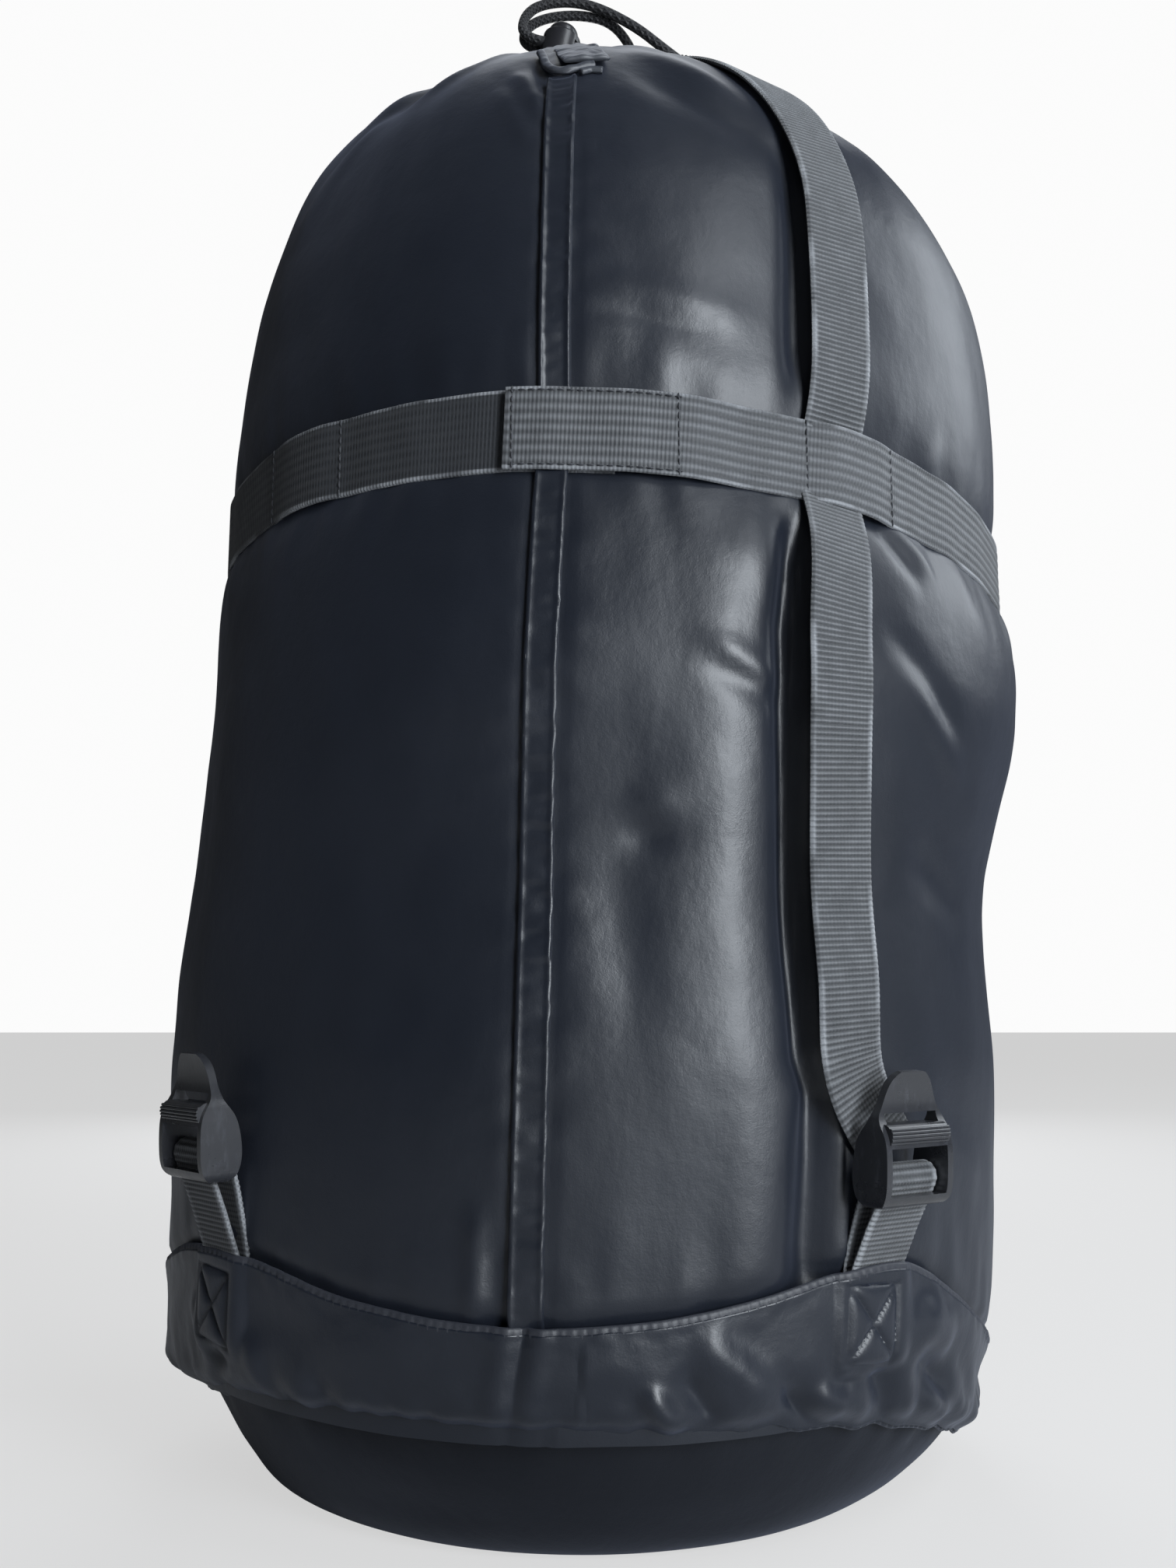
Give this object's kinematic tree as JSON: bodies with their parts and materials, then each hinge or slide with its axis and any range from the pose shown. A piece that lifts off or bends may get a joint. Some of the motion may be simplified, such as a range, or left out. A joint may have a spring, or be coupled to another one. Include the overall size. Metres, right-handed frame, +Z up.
{
  "type": "stuff sack",
  "caption": "Upright packed compression sack with a domed drawcord top, a girth band, a scalloped bottom cap and strap buckles.",
  "frame": {"origin": "middle of the footprint, on the surface the sack stands on", "axes": "+Z up along the sack; -Y is the front with the seam placket; +X is the viewer's right"},
  "size_m": [0.3013, 0.3065, 0.5236],
  "materials": {
    "cloth": "satin coated nylon",
    "binding": "folded nylon tape",
    "webbing": "ribbed webbing",
    "thread": "bonded thread",
    "cord": "braided cord",
    "buckle_plastic": "satin moulded",
    "spring_steel": "drawn wire",
    "stuffing": "soft packed load"
  },
  "bodies": {
    "base": {"bottom_panel": "cloth", "lower_cloth": "cloth", "cap_panel": "cloth", "cap_binding": "binding", "cap_seam_cord": "binding", "cap_fell_seam": "cloth", "tab_stitching": "thread", "placket_lower": "cloth", "packed_load": "stuffing", "tab_front_right": "webbing", "tab_front_left": "webbing", "tab_rear_left": "webbing", "tab_rear_right": "webbing"},
    "upper": {"upper_cloth": "cloth", "mouth_gathers": "cloth", "hem_channel": "cloth", "hem_tab": "cloth", "placket_upper": "cloth", "girth_band": "webbing", "band_stitching": "thread", "strap_stitching": "thread", "strap_front_left": "webbing", "strap_front_right": "webbing", "strap_rear_left": "webbing", "strap_rear_right": "webbing", "drawcord_held": "cord", "drawcord_loop": "cord", "cord_lock_barrel": "buckle_plastic", "cord_lock_spring": "spring_steel"},
    "lock_button": {"cord_lock_button": "buckle_plastic"},
    "buckle_front_right": {"ladderlock_front_right": "buckle_plastic"},
    "buckle_front_left": {"ladderlock_front_left": "buckle_plastic"},
    "buckle_rear_left": {"ladderlock_rear_left": "buckle_plastic"},
    "buckle_rear_right": {"ladderlock_rear_right": "buckle_plastic"}
  },
  "joints": [
    {"name": "compress", "type": "slide", "parent": "base", "child": "upper", "axis": [0, 0, -1], "range_m": [0, 0.1], "deforming": ["strap_front_right", "strap_rear_left", "strap_rear_right", "packed_load"]},
    {"name": "tilt_front_right", "type": "hinge", "parent": "base", "child": "buckle_front_right", "pos_m": [0.08556, -0.12684, 0.105], "axis": [0.829, 0.5592, 0], "range_deg": [0, 50], "deforming": ["tab_front_right"]},
    {"name": "tilt_front_left", "type": "hinge", "parent": "base", "child": "buckle_front_left", "pos_m": [-0.1119, -0.10435, 0.109], "axis": [0.682, -0.7314, 0], "range_deg": [0, 50], "deforming": ["tab_front_left"]},
    {"name": "tilt_rear_left", "type": "hinge", "parent": "base", "child": "buckle_rear_left", "pos_m": [-0.10435, 0.1119, 0.107], "axis": [-0.7314, -0.682, 0], "range_deg": [0, 50], "deforming": ["tab_rear_left"]},
    {"name": "tilt_rear_right", "type": "hinge", "parent": "base", "child": "buckle_rear_right", "pos_m": [0.12684, 0.08556, 0.107], "axis": [-0.5592, 0.829, 0], "range_deg": [0, 50], "deforming": ["tab_rear_right"]},
    {"name": "press_button", "type": "slide", "parent": "upper", "child": "lock_button", "axis": [-0.2079, 0, -0.9781], "range_m": [0, 0.0025], "stiffness_N_per_m": 600, "springref_m": -0.003, "deforming": ["cord_lock_spring"]}
  ]
}
